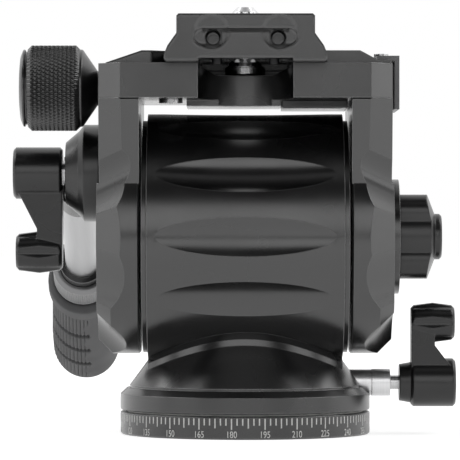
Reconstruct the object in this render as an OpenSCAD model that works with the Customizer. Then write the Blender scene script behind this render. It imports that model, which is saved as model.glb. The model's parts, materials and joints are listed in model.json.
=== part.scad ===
// Fluid video head: a fluted drum on a pan base, two side plates and a plate clamp that tilt round it.
// Millimetres. The origin is the middle of the base underside on the pan axis, -Y is the front, +Z is up.

/* [Base and pan] */
// Radius of the base disc and of the pan flange
base_r = 30; // [27:0.5:36]
// Height of the base disc
base_h = 5.4; // [5:0.1:8]
// Open line between base disc and pan flange
pan_gap = 0.5; // [0.3:0.05:1]
// Height of the straight pan flange
flange_h = 3.8; // [3:0.1:6]
// Height of the sloped shoulder above the flange
shoulder_h = 1.5; // [0.8:0.1:3]
// Radius of the cone at its foot
cone_foot_r = 28.2; // [25:0.1:28.6]
// Radius lost for each millimetre of cone height
cone_slope = 0.7375; // [0.6:0.0125:0.8]
// Width of the raised rim along the edge where the cone carries the drum
rim_w = 2; // [1:0.1:2.5]
// Height that this rim stands proud of the cone
rim_proud = 0.9; // [0.2:0.05:1.2]
// Radius of the 3/8 inch tripod thread at its tap drill
tripod_r = 4; // [3.9:0.05:4.2]
// Depth of the tripod thread
tripod_depth = 10; // [8:0.5:11]
// Radius of the pan spindle
spindle_r = 7; // [6.5:0.1:8]
// Radius of the spindle flange let into the base
spindle_flange_r = 11; // [10:0.5:14]
// Height of the spindle flange
spindle_flange_h = 2.5; // [2:0.1:3.5]
// Radius of the round brake drum on the spindle
brake_r = 11; // [10:0.25:11.5]
// Height of the brake drum
brake_h = 4.4; // [4:0.1:4.8]
// Thickness of the pan fluid rotor
pan_rotor_t = 1; // [0.8:0.1:1.2]
// Outer radius of the pan fluid rotor
pan_rotor_r = 14.5; // [13:0.1:14.7]

/* [Drum] */
// Height of the tilt axis above the cone foot
tilt_up = 36.2; // [35.8:0.1:40]
// Radius of the drum
drum_r = 29.5; // [28.5:0.1:30.5]
// Length of the drum along the tilt axis
drum_w = 46.6; // [44:0.2:50]
// Wall of the drum shell
drum_wall = 4; // [3.5:0.1:5]
// Thickness of the drum end caps
cap_t = 4; // [3:0.1:5]
// Depth of a flute at its middle
flute_depth = 1.6; // [1:0.1:2]
// Width of a flute at its middle
flute_w = 9.3; // [7:0.1:11]
// Length of a flute
flute_l = 42.5; // [36:0.5:44]
// Angle from one flute to the next
flute_pitch = 30; // [30:1:36]
// Number of flutes, counted upward from the one below the front
flute_count = 9; // [5:1:9]

/* [Tilt shaft] */
// Radius of the tilt shaft
shaft_r = 6; // [5:0.25:7]
// Outer radius of the tilt bearings
bearing_r = 9; // [8.5:0.25:10]
// Radius of the tilt lock stud
stud_r = 3; // [2.5:0.25:3.5]
// Oil gap between tilt rotor and stator
oil_gap = 0.5; // [0.35:0.05:0.8]
// Wall of the tilt stator sleeve
stator_wall = 3.5; // [2.5:0.1:5]
// Wire radius of the counterbalance spring
spring_wire = 1.3; // [1:0.1:1.4]
// Middle radius of the counterbalance spring
spring_r = 13; // [11:0.25:15]

/* [Side plates] */
// Clear width between drum end and side plate
side_gap = 1.7; // [1.2:0.1:2.5]
// Thickness of the round part of a side plate
side_t = 10.2; // [9:0.1:12]
// Radius of the round part of a side plate
side_r = 28.1; // [26:0.1:28.4]
// Inset of the upper block and the platform from the outer face of the round part
block_inset = 0.6; // [0.3:0.1:1]
// Height of the waist above the tilt axis
waist_z = 12.6; // [11:0.2:14]
// Depth of the rim chamfer on the outer edge
rim_chamfer = 3.4; // [2.5:0.1:4]
// Distance from the outer face to the deepest point of a scallop on the rim
scallop_in = 6.8; // [5:0.1:8]
// Radius of the scallop cutter
scallop_r = 24; // [10:0.5:30]

/* [Platform] */
// Clear height between drum top and platform underside
drum_clear = 3.1; // [2.6:0.1:5]
// Length of the platform from front to back
platform_l = 56; // [54:0.5:60]
// Height of the platform
platform_h = 8.2; // [8:0.1:10]
// Size of the upright corner chamfers
corner = 5.2; // [4:0.1:6.5]
// Half width of the front notch
notch_r = 11.2; // [9:0.1:12]
// Distance from the front edge to the centre of the notch's round end
notch_in = 8.8; // [7:0.1:10]
// Half width of the top channel at its floor
channel_floor = 6.8; // [6:0.1:8]
// Depth of the top channel
channel_d = 2.3; // [2:0.1:2.6]
// Half length of the moving jaw
jaw_half_l = 20; // [17:0.25:20]
// Height of both jaws above the platform
jaw_h = 3.2; // [2.6:0.1:4]
// Travel of the moving jaw from open to closed
jaw_travel = 5; // [3:0.1:5]
// Height of the clamp screw above the platform underside
clamp_up = 3.2; // [3.1:0.05:3.6]
// Radius of the clamp screw
clamp_screw_r = 2; // [1.5:0.1:2.1]
// Distance of the guide pins from the clamp screw
guide_off = 13; // [10:0.5:15]
// Radius of the guide pins
guide_r = 2; // [1.5:0.1:2.1]
// Thickness of the sheet leaf beside the platform
leaf_t = 1.2; // [0.8:0.1:1.6]

/* [Camera plate] */
// Length of the camera plate
plate_l = 70; // [60:1:90]
// Width of the camera plate at its dovetail
plate_w = 38; // [37:0.1:39]
// Width of the upper block of the camera plate
plate_top_w = 32.2; // [30:0.1:34]
// Height of the camera plate
plate_h = 11; // [10.5:0.1:13]
// Radius of the 1/4 inch camera thread
camera_r = 3.175; // [3.1:0.025:3.2]
// Length of the camera thread above the plate
camera_len = 3.4; // [3:0.1:5.5]
// Radius of the camera screw head
camera_head_r = 4.9; // [4.5:0.05:5.8]

/* [Knobs and levers] */
// Radius of the knurled clamp knob
knob_r = 10.3; // [9:0.1:10.5]
// Length of the knurled band
knob_l = 12.5; // [10:0.5:16]
// Overall radius of the tri-lobe tilt knob
tilt_knob_r = 11; // [9:0.1:12]
// Length of the tri-lobe tilt knob
tilt_knob_l = 10.3; // [9:0.1:13]
// Radius of the disc behind the tilt knob
knob_disc_r = 13.8; // [12:0.1:15]
// Height of the pan lock axis above the cone foot
pan_lock_up = 1.1; // [0.9:0.1:1.4]
// Radius of the pan lock sleeve
sleeve_r = 3.27; // [3:0.01:3.4]
// Reach of the pan lock lever from its axis
pan_lever_reach = 19.2; // [16:0.1:20]
// Reach of the handle lock lever from its axis
handle_lever_reach = 24.4; // [21:0.1:26]

/* [Handle] */
// Distance of the handle pivot behind the pan axis
handle_y = 11.5; // [11:0.1:13]
// Height of the handle pivot above the tilt axis
handle_up = 15.5; // [14:0.1:15.8]
// Angle of the handle below level
handle_drop = 15; // [0:1:25]
// Angle by which the handle splays away from the head
handle_splay = 1.5; // [0:0.25:4]
// Radius of the handle hub
hub_r = 11.8; // [10:0.1:12]
// Radius of the handle tube
tube_r = 4.5; // [4:0.1:4.7]
// Distance from the pivot to the front of the grip's nose
nose_at = 86; // [80:1:110]
// Length of the knurled twist ring
ring_l = 12.6; // [9:0.1:16]
// Radius of the knurled twist ring
ring_r = 7.9; // [7.5:0.1:8.4]
// Length of the rubber grip
grip_l = 87; // [75:1:110]
// Radius of the grip's front flange
grip_flange_r = 9.5; // [9:0.1:10.5]
// Travel of the grip along the tube
grip_travel = 55; // [30:1:55]

/* [Fits] */
// Radial clearance of pieces that stay seated in each other
seat = 0.02; // [0.01:0.01:0.05]
// Radial clearance of pieces that turn or slide in each other
run = 0.05; // [0.02:0.01:0.1]
// Clearance between faces that pass each other
clear = 0.3; // [0.3:0.05:0.5]

/* [Hidden] */
$fn = 96;
over = 1;
black = [0.1, 0.1, 0.11];
silver = [0.72, 0.72, 0.74];

// Heights and widths that follow from the sizes above
pan_z = base_h + pan_gap;
flange_top = pan_z + flange_h;
cone_z = flange_top + shoulder_h;
cavity_h = 2.7;
cavity_wall = 8.5;
cavity_r = base_r - cavity_wall;
web_t = 1.8;
web_z = pan_z + cavity_h;
web_top = web_z + web_t;
brake_gap = 1;
brake_room = brake_r + brake_gap;
tilt_z = cone_z + tilt_up;
pan_lock_z = cone_z + pan_lock_up;
spindle_top = web_top + brake_h + 2 * clear;
drum_bore = drum_r - drum_wall;
drum_end = drum_w / 2;
side_in = drum_end + side_gap;
side_out = side_in + side_t;
block_out = side_out - block_inset;
platform_z = tilt_z + drum_r + drum_clear;
platform_top = platform_z + platform_h;
platform_half = platform_l / 2;
channel_z = platform_top - channel_d;
clamp_z = platform_z + clamp_up;
plate_z = platform_top + run;
plate_top = plate_z + plate_h;
plate_half = plate_w / 2;
hub_x = side_out + run;
handle_z = tilt_z + handle_up;
tube_off = 5.55;
tube_x = hub_x + tube_off;

// Shared shapes

// Round bar or cone along +X from x0 to x1
module x_bar(r, x0, x1, r_end = undef) {
    translate([x0, 0, 0]) rotate([0, 90, 0])
        cylinder(r1 = r, r2 = is_undef(r_end) ? r : r_end, h = x1 - x0);
}

// Ring along +X
module x_ring(r_out, r_in, x0, x1) {
    difference() {
        x_bar(r_out, x0, x1);
        x_bar(r_in, x0 - over, x1 + over);
    }
}

// Ring along +Z
module z_ring(r_out, r_in, z0, z1) {
    translate([0, 0, z0]) difference() {
        cylinder(r = r_out, h = z1 - z0);
        translate([0, 0, -over]) cylinder(r = r_in, h = z1 - z0 + 2 * over);
    }
}

// Everything on the outer side of a plane through a point with an outward normal
module beyond(point, normal) {
    span = 120;
    translate(point) rotate([0, acos(normal.z / norm(normal)), atan2(normal.y, normal.x)])
        translate([-span / 2, -span / 2, 0]) cube(span);
}

module at_tilt() { translate([0, 0, tilt_z]) children(); }
module at_clamp() { translate([0, 0, clamp_z]) children(); }
module at_pan_lock() { translate([0, 0, pan_lock_z]) children(); }
module at_handle_pivot() { translate([0, handle_y, handle_z]) children(); }
// Local +Z runs along the handle, away from the pivot
module at_handle() {
    translate([-tube_x, handle_y, handle_z]) rotate([-90 - handle_drop, 0, handle_splay]) children();
}

// Base, fixed on the tripod

module base_disc() {
    edge = 0.4;
    color(black) rotate_extrude() polygon([
        [spindle_flange_r + seat, 0], [base_r - edge, 0], [base_r, edge], [base_r, base_h - edge / 2],
        [base_r - edge / 2, base_h], [spindle_r + seat, base_h], [spindle_r + seat, spindle_flange_h],
        [spindle_flange_r + seat, spindle_flange_h]]);
}

module pan_spindle() {
    color(silver) difference() {
        union() {
            cylinder(r = spindle_flange_r, h = spindle_flange_h);
            cylinder(r = spindle_r, h = spindle_top);
        }
        translate([0, 0, -over]) cylinder(r = tripod_r, h = tripod_depth + over);
    }
}

rotor_gap = 0.8;
rotor_z = base_h + rotor_gap;
module pan_fluid_rotor() {
    color(silver) z_ring(pan_rotor_r, spindle_r + seat, rotor_z, rotor_z + pan_rotor_t);
}

module pan_brake_drum() {
    color(silver) z_ring(brake_r, spindle_r + seat, web_top + clear, web_top + clear + brake_h);
}

// Pan housing with the fixed drum

function cone_r(z) = cone_foot_r - cone_slope * (z - cone_z);
cone_top = tilt_z - 0.75 * drum_r;
lip = 0.2;
groove = 0.5;
// The four screws that hold the drum, seen from above
drum_screw_xy = [16, 9];
drum_screw_r = 1.5;
drum_screw_head = 2.6;
drum_screw_head_h = 2.2;
drum_screw_end = 0.4;
drum_screw_in = sqrt(pow(drum_bore, 2) - pow(drum_screw_xy.y - drum_screw_r, 2));
drum_screw_top = tilt_z - drum_screw_in - drum_screw_end;
module at_drum_screws() {
    for (x = [-1, 1], y = [-1, 1])
        translate([x * drum_screw_xy.x, y * drum_screw_xy.y, 0]) children();
}

// The solid cone, grown outward where a rim is wanted
module housing_cone(grow = 0) {
    rotate_extrude() polygon([
        [0, cone_z], [cone_r(cone_z + groove) + grow, cone_z + groove],
        [cone_r(cone_top) + grow, cone_top], [0, cone_top]]);
}

// The raised rim keeps its width beside the drum: its outer wall is a slightly tapered oval tube,
// fitted to the line that lies rim_w from the drum on the raised cone
rim_lean = 0.15;
rim_axis_r = cone_r(tilt_z) + rim_proud;
rim_steep = 1 + pow(cone_slope, 2);
function rim_drop(x) =
    let (reach = pow(drum_r + rim_w, 2) + pow(x, 2) - pow(rim_axis_r, 2))
    (sqrt(pow(rim_axis_r * cone_slope, 2) + rim_steep * reach) - rim_axis_r * cone_slope) / rim_steep;
function rim_reach(x) = rim_axis_r + cone_slope * rim_drop(x);
rim_fit_x = 0.75 * drum_end;
rim_fit_y = sqrt(pow(rim_reach(rim_fit_x), 2) - pow(rim_fit_x, 2));
rim_fit_r = rim_reach(0) + rim_lean * (rim_drop(rim_fit_x) - rim_drop(0));
rim_oval = rim_fit_x / sqrt(pow(rim_fit_r, 2) - pow(rim_fit_y, 2));
rim_high_r = rim_reach(0) - rim_lean * rim_drop(0);
rim_low_r = rim_high_r + rim_lean * (tilt_z - cone_z);
module rim_tube() {
    intersection() {
        translate([0, 0, cone_z]) scale([rim_oval, 1, 1])
            cylinder(r1 = rim_low_r, r2 = rim_high_r, h = tilt_z - cone_z);
        translate([-drum_end, -base_r, cone_z]) cube([2 * drum_end, 2 * base_r, tilt_z]);
    }
}

sleeve_lip = 0.15;
sleeve_neck_r = sleeve_r - sleeve_lip;
// Room for the brake round the spindle and for the lock sleeve, in the housing and in the drum's underside
module brake_space() {
    translate([0, 0, web_top]) cylinder(r = brake_room, h = spindle_top + clear - web_top);
    at_pan_lock() x_bar(sleeve_neck_r + seat, 0, base_r + over);
}

module pan_housing() {
    color(black) difference() {
        union() {
            rotate_extrude() polygon([
                [0, pan_z], [base_r - lip, pan_z], [base_r, pan_z + lip], [base_r, flange_top],
                [cone_foot_r + lip, cone_z], [cone_foot_r - groove, cone_z],
                [cone_foot_r - groove, cone_z + groove], [0, cone_z + groove]]);
            housing_cone();
            intersection() {
                housing_cone(rim_proud);
                rim_tube();
            }
        }
        at_tilt() x_bar(drum_r + seat, -side_in, side_in);
        translate([0, 0, pan_z - over]) cylinder(r = cavity_r, h = web_z - pan_z + over);
        cylinder(r = spindle_r + run, h = web_top + over);
        translate([0, 0, web_top]) cylinder(r = brake_room, h = tilt_z - web_top);
        brake_space();
        at_drum_screws() cylinder(r = drum_screw_r + seat, h = tilt_z);
    }
}

glide_inset = 1.5;
glide_lap = 0.5;
module pan_glide_ring() {
    color("white") z_ring(base_r - glide_inset, cavity_r + glide_lap, base_h + run, pan_z);
}

fluid_plate_t = 0.9;
fluid_plate_lap = 0.7;
fluid_plate_in = 1;
module pan_fluid_plate() {
    color(silver)
        z_ring(pan_rotor_r + fluid_plate_lap, spindle_r + fluid_plate_in, web_z - fluid_plate_t, web_z);
}

// A barrel whose arc meets the drum along an almond outline, in short straight steps
flute_floor = drum_r - flute_depth;
flute_edge = sqrt(pow(drum_r, 2) - pow(flute_w / 2, 2));
flute_off = (pow(drum_r, 2) - pow(flute_floor, 2)) / (2 * (flute_edge - flute_floor));
flute_barrel = flute_off - flute_floor;
flute_arc = (pow(flute_l / 2, 2) + pow(flute_depth, 2)) / (2 * flute_depth);
flute_steps = 10;
flute_span = flute_l / 2 + over;
function flute_radius(x) = flute_barrel - flute_arc + sqrt(pow(flute_arc, 2) - pow(x, 2));
module flute_cutter() {
    places = [for (i = [0:flute_steps]) flute_span * (2 * i / flute_steps - 1)];
    rotate([0, 90, 0]) rotate_extrude() polygon(concat(
        [[0, -flute_span]], [for (x = places) [flute_radius(x), x]], [[0, flute_span]]));
}

module drum_shell() {
    edge = 0.5;
    color(black) difference() {
        at_tilt() rotate([0, 90, 0]) rotate_extrude() polygon([
            [drum_bore, -drum_end], [drum_r - edge, -drum_end], [drum_r, -drum_end + edge],
            [drum_r, drum_end - edge], [drum_r - edge, drum_end], [drum_bore, drum_end]]);
        for (i = [0:flute_count - 1])
            at_tilt() rotate([-flute_pitch * (i - 1), 0, 0]) translate([0, -flute_off, 0]) flute_cutter();
        at_drum_screws() cylinder(r = drum_screw_r + seat, h = drum_screw_top + seat);
        brake_space();
    }
}

module drum_screws() {
    color(silver) at_drum_screws() {
        translate([0, 0, web_z - drum_screw_head_h]) cylinder(r = drum_screw_head, h = drum_screw_head_h);
        translate([0, 0, web_z - over]) cylinder(r = drum_screw_r, h = drum_screw_top - web_z + over);
    }
}

// The flange of a cap lies on the drum's end and fills the gap beside it but for a clear width
cap_flange_r = drum_r - 1.6;
cap_flange_in = drum_bore - 4;
cap_flange_gap = 0.5;
module drum_cap() {
    flange_out = side_in - cap_flange_gap;
    at_tilt() rotate([0, 90, 0]) rotate_extrude() polygon([
        [bearing_r + seat, drum_end - cap_t], [drum_bore - seat, drum_end - cap_t],
        [drum_bore - seat, drum_end + seat], [cap_flange_r, drum_end + seat], [cap_flange_r, flange_out],
        [cap_flange_in, flange_out], [cap_flange_in, drum_end], [bearing_r + seat, drum_end]]);
}
module left_drum_cap() { color(black) mirror([1, 0, 0]) drum_cap(); }
module right_drum_cap() { color(black) drum_cap(); }

module tilt_bearings() {
    color("goldenrod") for (side = [0, 1])
        mirror([side, 0, 0]) at_tilt() x_ring(bearing_r, shaft_r + run, drum_end - cap_t, drum_end);
}

// The oil chamber takes the right part of the drum, the spring the left part
oil_end_gap = 3.3;
oil_l = 22;
oil_right = drum_end - cap_t - oil_end_gap;
oil_left = oil_right - oil_l;
module tilt_stator() {
    color(silver) at_tilt() x_ring(drum_bore - seat, drum_bore - stator_wall, oil_left, oil_right);
}

washer_w = 6;
washer_in = bearing_r + 1;
washer_gap = 0.1;
module tilt_thrust_washers() {
    color("white") for (side = [0, 1])
        mirror([side, 0, 0]) at_tilt()
            x_ring(washer_in + washer_w, washer_in, drum_end, side_in - washer_gap);
}

// Counterbalance spring: a ring of points carried along a helix round the tilt axis
spring_turns = 3;
spring_steps = 24;
spring_sides = 8;
spring_start = -drum_end + cap_t + spring_wire + clear;
spring_pitch = (oil_left - clear - spring_wire - spring_start) / spring_turns;
function spring_point(i, k) =
    let (turn = 360 * i / spring_steps, round = 360 * k / spring_sides,
         r = spring_r + spring_wire * cos(round))
    [spring_start + spring_pitch * i / spring_steps + spring_wire * sin(round), r * cos(turn), r * sin(turn)];
spring_rings = spring_turns * spring_steps;
spring_points = [for (i = [0:spring_rings], k = [0:spring_sides - 1]) spring_point(i, k)];
function spring_at(i, k) = i * spring_sides + k % spring_sides;
spring_skin = [for (i = [0:spring_rings - 1], k = [0:spring_sides - 1], half = [0, 1])
    half == 0 ? [spring_at(i, k), spring_at(i, k + 1), spring_at(i + 1, k + 1)]
              : [spring_at(i, k), spring_at(i + 1, k + 1), spring_at(i + 1, k)]];
spring_ends = [for (k = [1:spring_sides - 2], end = [0, 1])
    end == 0 ? [0, spring_at(0, k + 1), spring_at(0, k)]
             : [spring_at(spring_rings, 0), spring_at(spring_rings, k), spring_at(spring_rings, k + 1)]];
module counterbalance_spring() {
    color(silver) at_tilt() polyhedron(spring_points, concat(spring_skin, spring_ends));
}

// Pan lock

lock_stud_r = 1.7;
shoe_room = 4.6;
sleeve_neck_out = 0.5;
sleeve_reach = 4.9;
sleeve_in = brake_room + shoe_room;
sleeve_step = base_r + sleeve_neck_out;
sleeve_out = base_r + sleeve_reach;
module pan_lock_sleeve() {
    color(silver) at_pan_lock() {
        x_ring(sleeve_neck_r, lock_stud_r + run, sleeve_in, sleeve_step);
        x_ring(sleeve_r, lock_stud_r + run, sleeve_step - seat, sleeve_out);
    }
}

shoe_gap = 0.45;
shoe_end_gap = 0.1;
module pan_brake_shoe() {
    color("goldenrod") difference() {
        at_pan_lock() x_bar(sleeve_neck_r + seat - run, brake_r / 2, sleeve_in - shoe_end_gap);
        cylinder(r = brake_r + shoe_gap, h = tilt_z);
    }
}

// A barrel with finger flutes along X, the grip end of a lever
module lobed_end(w, r) {
    end_r = 0.88 * r;
    flutes = 6;
    flute_at = 1.2 * r;
    flute_r = 0.36 * r;
    edge = 0.7;
    difference() {
        rotate([0, 90, 0]) rotate_extrude() polygon([
            [0, 0], [end_r - edge, 0], [end_r, edge], [r, w / 2],
            [end_r, w - edge], [end_r - edge, w], [0, w]]);
        for (i = [0:flutes - 1])
            rotate([360 * (i + 0.5) / flutes, 0, 0]) translate([0, 0, flute_at])
                x_bar(flute_r, -over, w + over);
    }
}

lever_arm_t = 8;
lever_face_t = 1.5;
lever_stud_gap = 0.1;
// Lever on an axle along X: hub from x = 0 to w, arm along +Z, straight on the side nearest the head
module lever(w, hub, reach, end_w, end_r, bore) {
    edge = 0.6;
    neck = 0.54 * end_w;
    shoulder = 0.55 * hub;
    end_z = reach - end_r;
    neck_z = end_z - end_r - edge;
    difference() {
        union() {
            rotate([0, 90, 0]) rotate_extrude() polygon([
                [0, 0], [hub - edge, 0], [hub, edge], [hub, w - edge], [hub - edge, w], [0, w]]);
            rotate([90, 0, 0]) translate([0, 0, -lever_arm_t / 2]) linear_extrude(lever_arm_t) polygon([
                [0, 0], [w - edge, 0], [w - edge, shoulder], [neck, neck_z], [neck, end_z], [0, end_z]]);
            translate([0, 0, end_z]) lobed_end(end_w, end_r);
        }
        x_bar(bore, -over, w - lever_face_t);
    }
}

pan_lever_w = 10.7;
pan_lever_hub = 5.8;
pan_lever_end_r = 4.8;
pan_lever_end_w = pan_lever_w - 0.2;
collar_gap = 2.2;
collar_in = sleeve_out + collar_gap;
collar_l = 2.8;
collar_r = pan_lever_hub - 1.4;
collar_end_r = pan_lever_hub - 0.9;
pan_lever_in = collar_in + collar_l;
pan_stud_out = pan_lever_in + pan_lever_w - lever_face_t - lever_stud_gap;
module pan_lock_stud() {
    color(silver) at_pan_lock() x_bar(lock_stud_r, sleeve_in, pan_stud_out);
}

module pan_lock_collar() {
    color(black) at_pan_lock() difference() {
        x_bar(collar_r, collar_in, pan_lever_in, collar_end_r);
        x_bar(lock_stud_r + seat, collar_in - over, pan_lever_in + over);
    }
}

module pan_lock_lever() {
    color(black) at_pan_lock() translate([pan_lever_in, 0, 0])
        lever(pan_lever_w, pan_lever_hub, pan_lever_reach, pan_lever_end_w, pan_lever_end_r,
            lock_stud_r + seat);
}

// Side plates and tilt shaft

waist_y = sqrt(pow(side_r, 2) - pow(waist_z, 2));
strip_w = 3.9;
facet_drop = 6.7;
facet_top = [block_out - corner, -platform_half, platform_z];
facet_corner = [block_out, corner - platform_half, platform_z - facet_drop];
facet_waist = [side_in + strip_w, -waist_y, tilt_z + waist_z];
facet_normal = cross(facet_waist - facet_top, facet_corner - facet_top);

scallop_step = 46.66;
scallop_first = -19.5;
// The scallop at the waist has a tighter upper half, so that it ends under the facet
waist_scallop_r = 7;
module scallop(r) {
    translate([side_out - scallop_in + r * sqrt(0.5), -side_r - r * sqrt(0.5), 0]) rotate([0, 90, 45])
        cylinder(r = r, h = 4 * side_t, center = true);
}

module waist_scallop() {
    scallop(waist_scallop_r);
    intersection() {
        scallop(scallop_r);
        translate([0, -2 * side_r, -side_r]) cube([2 * side_out, 2 * side_r, side_r]);
    }
}

shaft_face_t = 1.7;
shaft_end = side_out - shaft_face_t;
// The platform screws stand between the jaws' ends and the platform's ends
platform_screw_inset = 5.6;
platform_screw_xy = [block_out - platform_screw_inset, (jaw_half_l + platform_half) / 2];
platform_screw_r = 1.5;
platform_screw_head = 2.6;
platform_screw_sink = 2.8;
platform_screw_depth = 8;
platform_screw_low = platform_z - platform_screw_depth;
screw_socket_r = 1.45;
screw_socket_floor = 1.2;
module at_platform_screws() {
    for (x = [-1, 1], y = [-1, 1])
        translate([x * platform_screw_xy.x, y * platform_screw_xy.y, 0]) children();
}

// Facets that break the front outer edge of a side plate above the waist
module edge_facets() {
    beyond([block_out - corner, -platform_half, 0], [1, -1, 0]);
    intersection() {
        beyond(facet_top, facet_normal);
        translate([0, -platform_l, tilt_z + waist_z]) cube([2 * side_out, platform_l, platform_z]);
    }
}

module side_plate_body() {
    edge = 0.4;
    difference() {
        union() {
            at_tilt() rotate([0, 90, 0]) rotate_extrude() polygon([
                [0, side_in], [side_r - edge, side_in], [side_r, side_in + edge],
                [side_r, side_out - rim_chamfer], [side_r - rim_chamfer, side_out], [0, side_out]]);
            translate([side_in, 0, 0]) rotate([90, 0, 90]) linear_extrude(block_out - side_in) polygon([
                [-waist_y, tilt_z + waist_z], [-platform_half, platform_z - edge],
                [edge - platform_half, platform_z], [platform_half - edge, platform_z],
                [platform_half, platform_z - edge], [waist_y, tilt_z + waist_z],
                [waist_y / 2, tilt_z], [-waist_y / 2, tilt_z]]);
        }
        translate([block_out, -platform_l, tilt_z + waist_z]) cube([side_t, 2 * platform_l, platform_l]);
        for (side = [0, 1]) mirror([0, side, 0]) {
            edge_facets();
            at_tilt() rotate([-scallop_step - scallop_first, 0, 0]) waist_scallop();
            for (i = [0, 1]) at_tilt() rotate([scallop_step * i - scallop_first, 0, 0]) scallop(scallop_r);
        }
        at_tilt() x_bar(shaft_r + seat, side_in - over, shaft_end);
        at_platform_screws() translate([0, 0, platform_screw_low])
            cylinder(r = platform_screw_r + seat, h = platform_z);
    }
}

friction_disc_r = 9.5;
friction_disc_t = 1.2;
handle_stud_depth = 7;
tilt_stud_depth = 7;
module left_side_plate() {
    color(black) difference() {
        mirror([1, 0, 0]) side_plate_body();
        at_handle_pivot() {
            x_bar(stud_r + run, -side_out - over, handle_stud_depth - side_out);
            x_bar(friction_disc_r + seat, -side_out - over, friction_disc_t - side_out);
        }
    }
}

module right_side_plate() {
    color(black) difference() {
        side_plate_body();
        at_tilt() x_bar(stud_r + run, side_in, side_out + over);
    }
}

module tilt_shaft() {
    color(silver) at_tilt() difference() {
        x_bar(shaft_r, seat - shaft_end, shaft_end - seat);
        x_bar(stud_r + run, side_in - tilt_stud_depth - over, side_out);
    }
}

module tilt_rotor() {
    color(silver) at_tilt() x_ring(drum_bore - stator_wall - oil_gap, shaft_r + seat, oil_left, oil_right);
}

knob_disc_t = 1.7;
module tilt_knob_disc() {
    color(black) at_tilt() x_ring(knob_disc_r, stud_r + run, side_out, side_out + knob_disc_t);
}

module handle_friction_disc() {
    color("dimgray") at_handle_pivot()
        x_ring(friction_disc_r, stud_r + run, -side_out, friction_disc_t - side_out);
}

// Platform and clamp

jaw_room = 0.2;
pocket_in = 13;
pocket_floor = 0.6;
pocket_z = platform_z + pocket_floor;
notch_y = notch_in - platform_half;
// The channel ends behind the farthest place of the camera screw's head
plate_travel = 15;
channel_room = 1;
channel_end = plate_travel + camera_head_r + channel_room;
boss_drop = 1.4;
boss_right = 8.6;
boss_left = pocket_in + 1;
boss_front = jaw_half_l / 2;
boss_l = 1.25 * jaw_half_l;
// Thread that the clamp screw keeps in the platform when the jaw is open
clamp_grip = 4;
clamp_end = pocket_in - jaw_travel - clamp_grip;
guide_root = 2.5;
guide_wall = 1.5;
guide_end_gap = 0.5;
jaw_screw_xy = [23.5, 14];
jaw_screw_r = 1.5;
jaw_screw_head = 2.75;
jaw_screw_depth = 5;
jaw_screw_floor = 0.8;
jaw_screw_sink = 0.3;
module at_jaw_screws() {
    for (y = [-1, 1]) translate([jaw_screw_xy.x, y * jaw_screw_xy.y, 0]) children();
}
module at_guides() {
    for (y = [-1, 1]) translate([0, y * guide_off, clamp_z]) children();
}

module platform() {
    tall = 2 * platform_h;
    color(black) difference() {
        union() {
            translate([0, 0, platform_z]) linear_extrude(platform_h) polygon([
                [-block_out, corner - platform_half], [corner - block_out, -platform_half],
                [block_out - corner, -platform_half], [block_out, corner - platform_half],
                [block_out, platform_half - corner], [block_out - corner, platform_half],
                [corner - block_out, platform_half], [-block_out, platform_half - corner]]);
            translate([-boss_left, -boss_front, platform_z - boss_drop])
                cube([boss_left + boss_right, boss_l, 2 * boss_drop]);
        }
        translate([0, notch_y, platform_z - tall / 2]) cylinder(r = notch_r, h = 2 * tall);
        translate([-notch_r, notch_y - platform_l, platform_z - tall / 2])
            cube([2 * notch_r, platform_l, 2 * tall]);
        rotate([90, 0, 0]) translate([0, 0, -channel_end]) linear_extrude(channel_end + platform_l) polygon([
            [-channel_floor, channel_z], [channel_floor, channel_z],
            [notch_r, platform_top], [notch_r, platform_top + over], [-notch_r, platform_top + over],
            [-notch_r, platform_top]]);
        translate([-block_out - over, -jaw_half_l - jaw_room, pocket_z])
            cube([block_out - pocket_in + over, 2 * (jaw_half_l + jaw_room), tall]);
        at_clamp() x_bar(clamp_screw_r + run, -pocket_in - over, -clamp_end);
        at_guides() x_bar(guide_r + seat, -pocket_in - over, guide_root - pocket_in);
        at_platform_screws() {
            translate([0, 0, platform_z - over]) cylinder(r = platform_screw_r + seat, h = tall);
            translate([0, 0, platform_top - platform_screw_sink])
                cylinder(r = platform_screw_head + seat, h = tall);
        }
        at_jaw_screws() translate([0, 0, platform_top - jaw_screw_depth])
            cylinder(r = jaw_screw_r + seat, h = tall);
        at_leaf_screw() translate([0, 0, platform_top - leaf_screw_depth])
            cylinder(r = leaf_screw_r + seat, h = tall);
        at_stop_screw() translate([0, 0, platform_z - over])
            cylinder(r = stop_screw_r + seat, h = over + stop_screw_in);
    }
}

// Screw head with a hexagon socket
module socket_head(r, h) {
    difference() {
        cylinder(r = r, h = h);
        translate([0, 0, screw_socket_floor]) cylinder(r = screw_socket_r, h = h, $fn = 6);
    }
}

module platform_screws() {
    color(silver) at_platform_screws() {
        translate([0, 0, platform_screw_low + seat])
            cylinder(r = platform_screw_r, h = platform_top - platform_screw_sink - platform_screw_low);
        translate([0, 0, platform_top - platform_screw_sink + seat])
            socket_head(platform_screw_head, platform_screw_sink - clear + run);
    }
}

// Side of the camera plate: two slopes from the upper block down to the dovetail edge
cove_top_up = 6.5;
cove_mid_up = 3.6;
cove_low_up = 1.5;
cove_mid_share = 0.29;
cove_top = plate_z + cove_top_up;
cove_mid = plate_z + cove_mid_up;
cove_low = plate_z + cove_low_up;
cove_dx = (plate_w - plate_top_w) / 2;
cove_mid_x = plate_half - cove_mid_share * cove_dx;
jaw_gap = 0.1;
jaw_top = platform_top + jaw_h;
// Half width of the plate on the slopes at a height
function cove_x(z) =
    lookup(z, [[cove_low, plate_half], [cove_mid, cove_mid_x], [cove_top, plate_top_w / 2]]);
lip_top_x = cove_x(jaw_top) + jaw_gap;
lip_low_x = plate_half + jaw_gap;
lip_z = cove_low + jaw_gap;
ledge_h = 1;
ledge_w = 3.4;
ledge_inset = 0.2;
jaw_flat_w = 8;

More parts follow.
